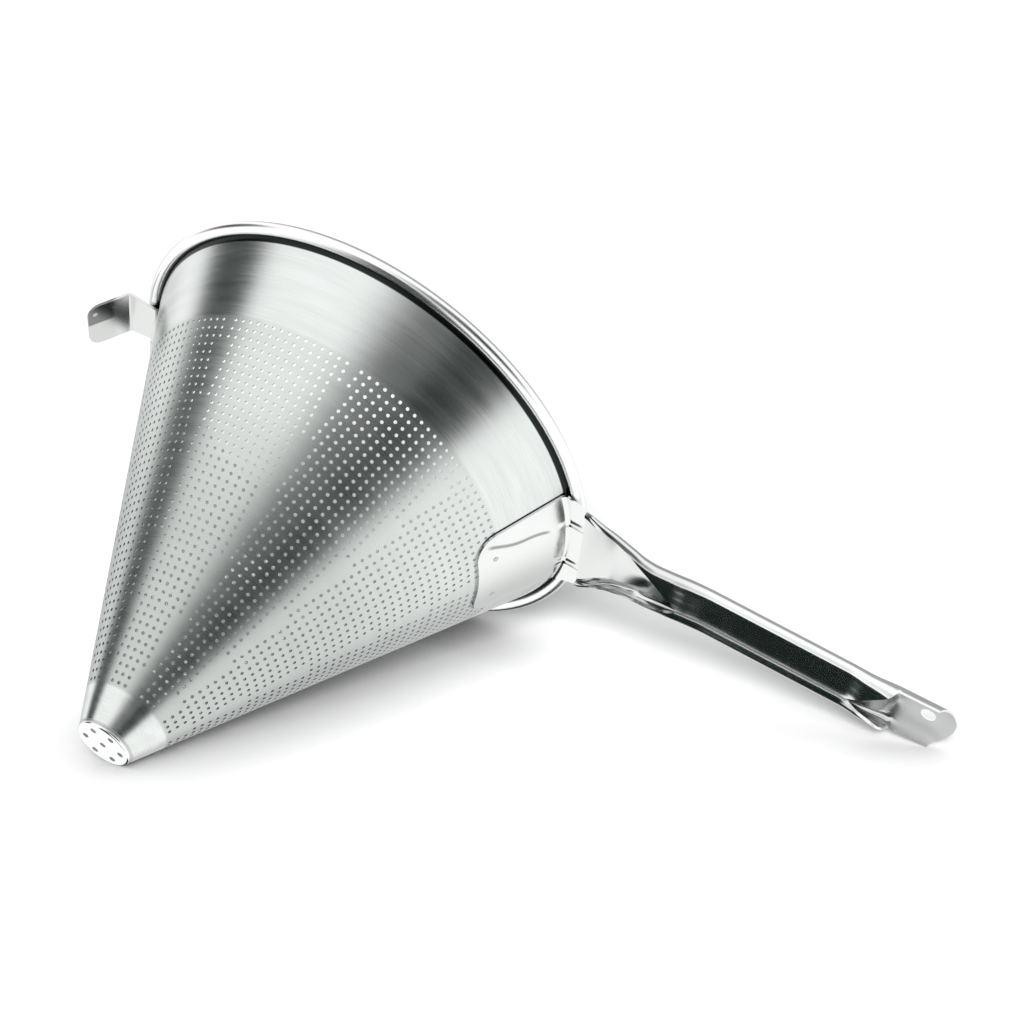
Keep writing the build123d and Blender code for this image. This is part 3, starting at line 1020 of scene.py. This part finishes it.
white = (1.0, 1.0, 1.0, 1.0)
black = (0.0, 0.0, 0.0, 1.0)
cone_dark = (0.63, 0.65, 0.64, 1.0)
cone_light = (0.74, 0.755, 0.745, 1.0)
punched_grey = (0.50, 0.53, 0.515, 1.0)
painted_deep_shade = (0.34, 0.36, 0.35, 1.0)
bead_light = (0.86, 0.865, 0.86, 1.0)
crease_shade_colour = (0.02, 0.025, 0.024, 1.0)
polished_dark = (0.76, 0.77, 0.765, 1.0)
polished_light = (0.84, 0.845, 0.84, 1.0)
# Colour of the darker tone and of the painted shade and reflections on the polished parts
tone_and_shade_dark = (0.08, 0.085, 0.08, 1.0)
weld_colours = ((0.42, 0.43, 0.425, 1.0), (0.62, 0.625, 0.62, 1.0))
wire_colours = ((0.48, 0.49, 0.49, 1.0), (0.60, 0.61, 0.61, 1.0))
cone_roughness = 0.13
bead_roughness = 0.24
polished_roughness = 0.06

# Each fade is where a painted mark begins and where it is full, in millimetres on the
# strainer's own axes, or as shares where it is about the way that the surface faces
bead_fade = (0.1, 0.5)
outside_fade = (-0.5, -0.2)
under_bead_shade_fade = (-4.4, -3.8)
painted_deep_shade_fade = (-50.0, -140.0)
shield_edge_shade_fade = (1.15, 0.6)
outline_growth_height = 9.0
outline_at_foot = 0.3
reflection_line_fade = (1.7, 0.5)
reflection_line_foot_fade = (-47.0, -43.0)
reflection_line_top_fade = (-13.0, -17.0)
reflection_line_slant = 0.27
reflection_line_shift = 11.2
reflection_line_wave_rate = 0.24
reflection_line_wave_height = 0.9
rib_shadow_fade = (0.7, 0.2)
rib_shadow_start_fade = (119.0, 122.0)
rib_shadow_shift = 2.7
matt_end_fade = (300.0, 308.0)
facing_down_fade = (0.1, -0.2)
seam_fade = (1.2, 0.7)
seam_shift = 0.5
seam_top_fade = (-2.0, -4.0)
seam_start_fade = (184.0, 190.0)
seam_end_fade = (284.0, 279.0)
root_plate_fade = (205.0, 180.0)
side_shade_fade = (0.35, 0.6)
drop_fade = (-142.0, -144.0)
dark_reflection_fade = (-0.8, -2.2)
dot_fade = (0.8, 1.8)
dot_place = -9.0
dot_heights = (-12.7, -22.2)
dot_stretch = 1.15


def new_finish(name):
    finish = bpy.data.materials.new(name)
    finish.use_nodes = True
    finish.node_tree.nodes.clear()
    return finish, Board(finish.node_tree)


def strainer_axes(board):
    """Millimetres from the rim's middle along the handle, sideways and toward the mouth."""
    place = board.node("ShaderNodeTexCoord", outlet="Object")
    offset = board.node(
        "ShaderNodeVectorMath", {"operation": "SUBTRACT"}, {0: place, 1: rim_middle}
    )
    return [board.dot(offset, way) / mm for way in (handle_way, side_way, mouth_way)]


def steel_shader(board, colour, roughness, height, bump_strength, bump_depth):
    """Metal's surface with a bump, its depth in millimetres."""
    bump = board.node(
        "ShaderNodeBump",
        values={"Strength": bump_strength, "Distance": bump_depth * mm, "Height": height},
    )
    shader = board.node(
        "ShaderNodeBsdfPrincipled",
        values={"Base Color": colour, "Roughness": roughness, "Metallic": 1.0, "Normal": bump},
    )
    board.node("ShaderNodeOutputMaterial", values={0: shader})


def satin_cone_finish():
    """Sheet ground round the cone: fine rings that catch the light, polished at the rim; painted
    shade deep in the cone, under the bead and round the bracket.
    """
    finish, board = new_finish("cone_satin_steel")
    x, y, z = strainer_axes(board)
    radius = (x * x + y * y).maths("SQRT")
    slant = radius * sin(slope) + z * cos(slope)

    def rings(round_scale, slant_scale, detail):
        east, north = x / radius * round_scale, y / radius * round_scale
        return board.noise(1.0, detail, board.vector(east, north, slant * slant_scale))

    fine = rings(round_scale=5.0, slant_scale=3.2, detail=3.0)
    broad = rings(round_scale=2.0, slant_scale=0.16, detail=4.0)
    blotch = board.noise(scale=14.0, detail=3.0)
    off_wall = radius - (wall_radius_at_rim + z * tan(slope))
    bead = board.smooth_step(off_wall, *bead_fade)
    start = apex_height * cos(slope)
    punched = board.smooth_step(slant, punched_low + start - 1, punched_low + start + 1)
    punched = punched * board.smooth_step(slant, punched_high + start + 1, punched_high + start - 1)
    satin = fine * 0.08 + broad * 0.08 + blotch * 0.04 + cone_roughness + punched * 0.05
    roughness = satin * (1 - bead) + bead * bead_roughness
    shade = board.smooth_step(fine * 0.5 + broad * 0.5, 0.3, 0.7)
    colour = board.mixed(shade, cone_dark, cone_light)
    colour = board.mixed(punched * 0.35, colour, punched_grey)
    # Painted shade: the punched band is painted darker toward the small end
    deep = board.smooth_step(z, *painted_deep_shade_fade) * punched
    colour = board.mixed(deep * 0.5, colour, painted_deep_shade)
    colour = board.mixed(bead, colour, bead_light)
    outside = board.smooth_step(off_wall, *outside_fade) * (1 - bead)
    # Painted shade: a near-black line in the crease under the bead and along the bracket's edge
    under_bead_shade = board.smooth_step(z, *under_bead_shade_fade)
    crease = under_bead_shade.maths("MAXIMUM", shield_edge_shade(board, x, y, z)) * outside
    colour = board.mixed(crease, colour, crease_shade_colour)
    steel_shader(board, colour, roughness, fine * (1 - bead), bump_strength=0.12, bump_depth=0.05)
    return finish


def shield_edge_shade(board, x, y, z):
    """Painted shade: a dark line on the wall where the bracket's edge lies on it."""
    foot, corner = bracket_foot, bracket_corner_radius
    half = (z - foot) * bracket_growth + bracket_bottom_half_width
    beside = (abs(y) - half + corner).maths("MAXIMUM", 0.0)
    below = (foot + corner - z).maths("MAXIMUM", 0.0)
    away = (beside * beside + below * below).maths("SQRT") - corner
    growing = board.smooth_step(z, foot, foot + outline_growth_height)
    strength = growing * (1 - outline_at_foot) + outline_at_foot
    return board.smooth_step(away, *shield_edge_shade_fade) * strength * x.maths("GREATER_THAN", 0.0)


def polished_finish(name, tone_and_shade=None, dulling=None):
    """Polished steel with faint lengthwise scratches and soft handling marks, and where given a
    darker tone with painted shade or reflection.
    """
    finish, board = new_finish(name)
    x, y, z = strainer_axes(board)
    scratch = board.noise(1.0, 4.0, board.vector(x * 0.06, y * 1.6, z * 1.6))
    cloud = board.noise(scale=45.0, detail=3.0)
    roughness = scratch * 0.06 + cloud * 0.08 + polished_roughness
    colour = board.mixed(cloud, polished_dark, polished_light)
    if dulling:
        roughness = roughness + dulling(board, x, y, z)
    if tone_and_shade:
        # Darker tone, and painted shade or reflection where the given function paints it
        colour = board.mixed(tone_and_shade(board, x, y, z), colour, tone_and_shade_dark)
    steel_shader(board, colour, roughness, scratch, bump_strength=0.05, bump_depth=0.05)
    return finish


def bracket_tone_and_shade(board, x, y, z):
    """Painted reflection: a wavy dark line on the bracket's face; painted shadow: a soft line under
    each rib; and a slightly darker tone over all.
    """
    # Painted reflection: a wavy dark line across the bracket's face
    wave = (z * reflection_line_wave_rate).maths("SINE") * reflection_line_wave_height
    away = abs(y - z * reflection_line_slant + wave + reflection_line_shift)
    line = board.smooth_step(away, *reflection_line_fade)
    line = line * board.smooth_step(z, *reflection_line_foot_fade) * board.smooth_step(z, *reflection_line_top_fade)
    # Painted shadow: a soft dark line along the lower side of each rib
    beside_rib = abs(abs(y - rib_shadow_shift) - rib_spread / 2)
    painted_rib_shadow = board.smooth_step(beside_rib, *rib_shadow_fade)
    painted_rib_shadow = painted_rib_shadow * board.smooth_step(x, *rib_shadow_start_fade)
    return (line * 0.6).maths("MAXIMUM", painted_rib_shadow * 0.45) + 0.07


def facing(board, way):
    """How much the surface faces along a way."""
    return board.dot(board.node("ShaderNodeNewGeometry", outlet="Normal"), tuple(way))


def handle_dulling(board, x, y, z):
    """Matt inside of the handle's end and matt seam where the flaps meet."""
    end = board.smooth_step(x, *matt_end_fade)
    end = end * board.smooth_step(facing(board, mouth_way), *facing_down_fade)
    seam = board.smooth_step(abs(y - seam_shift), *seam_fade) * board.smooth_step(z, *seam_top_fade)
    for fade in (seam_start_fade, seam_end_fade):
        seam = seam * board.smooth_step(x, *fade)
    return (end * 0.4).maths("MAXIMUM", seam * 0.7)


def handle_tone_and_shade(board, x, y, z):
    """Duller plate at the handle's root, with painted shade on the side that faces sideways."""
    # Painted shade: faces turned sideways near the root are painted darker
    side = board.smooth_step(facing(board, side_way), *side_shade_fade)
    return board.smooth_step(x, *root_plate_fade) * (side * 0.7 + 0.15)


def hook_tone_and_reflection(board, x, y, z):
    """Darker hook, its drop darker still, with a painted dark reflection on one half of the drop
    that leaves out two light dots.
    """
    across = (y - dot_place) * (y - dot_place)
    high, low = [(z - height) * dot_stretch for height in dot_heights]
    away = (across + high * high).maths("MINIMUM", across + low * low).maths("SQRT")
    # Painted reflection: one half of the drop painted dark, except round two dots
    dark = board.smooth_step(y, *dark_reflection_fade) * board.smooth_step(away, *dot_fade)
    return board.smooth_step(x, *drop_fade) * (dark * 0.5 + 0.1) + 0.22


def grained_finish(name, scale, detail, colours, roughness, spread, bump_strength, bump_depth):
    """Dull steel mottled by a fine grain."""
    finish, board = new_finish(name)
    grain = board.noise(scale, detail)
    colour = board.mixed(grain, *colours)
    steel_shader(board, colour, grain * spread + roughness, grain, bump_strength, bump_depth)
    return finish


# Studio

tent_light = (1.25, 1.26, 1.25, 1.0)
room_dark = (0.010, 0.018, 0.015, 1.0)
fill_grey = (0.22, 0.225, 0.225, 1.0)
table_light = (0.93, 0.93, 0.93, 1.0)
floor_width = 8.0
floor_glow = 0.12
contact_shadow_reach = 42.0
contact_shadow_power = 0.58

# Camera, fitted to the rim, the cone's outline and the handle in the photograph: its place in
# metres and its turns in degrees
camera_sensor = 36.0
camera_lens = 97.44
camera_place = (-0.99055, -0.71405, 0.57013)
camera_turns = (69.3586, -1.4673, -55.8429)

# Dark parts of the studio as the metal sees them: azimuth, elevation, radius and softness in
# degrees, and how much light each takes away
dark_parts = [
    (-118.0, 10.0, 16.5, 5.0, 1.0),
    (-130.0, 22.0, 30.0, 14.0, 0.87),
    (107.0, 21.0, 17.0, 6.0, 1.0),
    (138.0, -57.0, 9.0, 1.5, 1.0),
    (153.0, -46.0, 14.0, 2.0, 1.0),
    (166.0, -30.0, 14.0, 2.0, 1.0),
    (175.0, -12.0, 15.0, 2.0, 1.0),
    (180.0, 0.0, 14.0, 1.5, 1.0),
    (60.0, -70.0, 15.5, 1.5, 1.0),
    (45.0, -50.0, 10.0, 2.0, 1.0),
    (25.0, -42.0, 30.0, 18.0, 0.42),
    (62.0, -12.0, 16.0, 10.0, 0.35),
    (10.0, 30.0, 38.0, 12.0, 0.65),
]


def ray(board, kind):
    """One where the light path is of a kind."""
    return board.node("ShaderNodeLightPath", outlet=f"Is {kind} Ray")


def studio_world():
    """White tent with dark gaps, as the metal sees it, and plain white behind everything."""
    world = bpy.data.worlds.new("studio")
    world.use_nodes = True
    world.node_tree.nodes.clear()
    scene.world = world
    board = Board(world.node_tree)
    way = board.node("ShaderNodeTexCoord", outlet="Generated")
    light = board.number(1.0)
    for azimuth, elevation, radius, softness, depth in dark_parts:
        middle = direction(radians(azimuth), radians(elevation))
        away = board.dot(way, middle).maths("ARCCOSINE") * degrees(1.0)
        edge = board.smooth_step(away, radius - softness, radius + softness)
        light = light * (edge * depth + (1 - depth))
    seen_in_metal = board.mixed(light, room_dark, tent_light)
    colour = board.mixed(ray(board, "Glossy"), fill_grey, seen_in_metal)
    colour = board.mixed(ray(board, "Camera"), colour, white)
    glow = board.node("ShaderNodeBackground", values={"Color": colour, "Strength": 1.0})
    board.node("ShaderNodeOutputWorld", values={0: glow})


def studio_floor():
    """White table that shows the strainer's shadow, with a contact shadow painted in, and nothing
    else.
    """
    half = floor_width / 2
    corners = [(-half, -half, 0.0), (half, -half, 0.0), (half, half, 0.0), (-half, half, 0.0)]
    mesh = bpy.data.meshes.new("floor")
    mesh.from_pydata(corners, [], [(0, 1, 2, 3)])
    finish, board = new_finish("white_table")
    reach = {"Distance": contact_shadow_reach * mm}
    # Painted shadow: the table's colour and glow darken where the strainer closes it in
    openness = board.node("ShaderNodeAmbientOcclusion", {"samples": 16}, reach, "AO")
    openness = openness.maths("POWER", contact_shadow_power)
    pale = board.mixed(openness, black, table_light)
    matte = board.node("ShaderNodeBsdfDiffuse", values={"Color": pale})
    strength = ray(board, "Camera") * openness * floor_glow
    glow = board.node("ShaderNodeEmission", values={"Color": white, "Strength": strength})
    surface = board.node("ShaderNodeAddShader", values={0: matte, 1: glow})
    board.node("ShaderNodeOutputMaterial", values={0: surface})
    mesh.materials.append(finish)
    floor = in_scene("floor", mesh)
    floor.visible_glossy = False


def soft_sun(name, azimuth, elevation, softness, strength):
    """Wide distant light from a direction given in degrees, which the metal doesn't mirror."""
    sun = bpy.data.lights.new(name, "SUN")
    sun.angle = radians(softness)
    sun.energy = strength
    rig = in_scene(name, sun)
    way = direction(radians(azimuth), radians(elevation))
    rig.rotation_euler = (-way).to_track_quat("-Z", "Y").to_euler()
    rig.visible_glossy = False


def studio_camera():
    """Camera at the photograph's angle."""
    lens = bpy.data.cameras.new("camera")
    lens.sensor_width = camera_sensor
    lens.lens = camera_lens
    rig = in_scene("camera", lens)
    rig.location = camera_place
    rig.rotation_euler = [radians(turn) for turn in camera_turns]
    scene.camera = rig


satin = satin_cone_finish()
polished = polished_finish("polished_steel")
weld = grained_finish(
    "weld_steel", scale=900.0, detail=4.0, colours=weld_colours,
    roughness=0.22, spread=0.25, bump_strength=0.25, bump_depth=0.08,
)
wire = grained_finish(
    "wire_steel", scale=400.0, detail=3.0, colours=wire_colours,
    roughness=0.3, spread=0.2, bump_strength=0.1, bump_depth=0.05,
)
perforated_cone(satin)
tip_cap(polished)
tip_weld(weld)
handle_bracket(polished_finish("bracket_steel", bracket_tone_and_shade))
handle(polished_finish("handle_steel", handle_tone_and_shade, handle_dulling))
rest_hook(polished_finish("hook_steel", hook_tone_and_reflection))
bracket_strap = (bracket_sheet, bracket_bend_radius, bracket_leg)
spot_welds("bracket_spot_welds", weld, bracket_strap, bracket_spot_height, bracket_spot_spread, 0.0)
hook_strap = (hook_sheet, hook_bend_radius, hook_leg)
spot_welds("hook_spot_welds", weld, hook_strap, hook_spot_height, hook_spot_spread, pi)
root_weld(weld)
rim_wire = frame["nodes"]["rim_wire"]
for slot in rim_wire.material_slots:
    slot.material = wire

studio_world()
studio_floor()
soft_sun("front_low", azimuth=211.0, elevation=30.0, softness=18.0, strength=4.1)
soft_sun("front_high", azimuth=211.0, elevation=44.0, softness=28.0, strength=0.8)
studio_camera()
scene.view_settings.view_transform = "Standard"
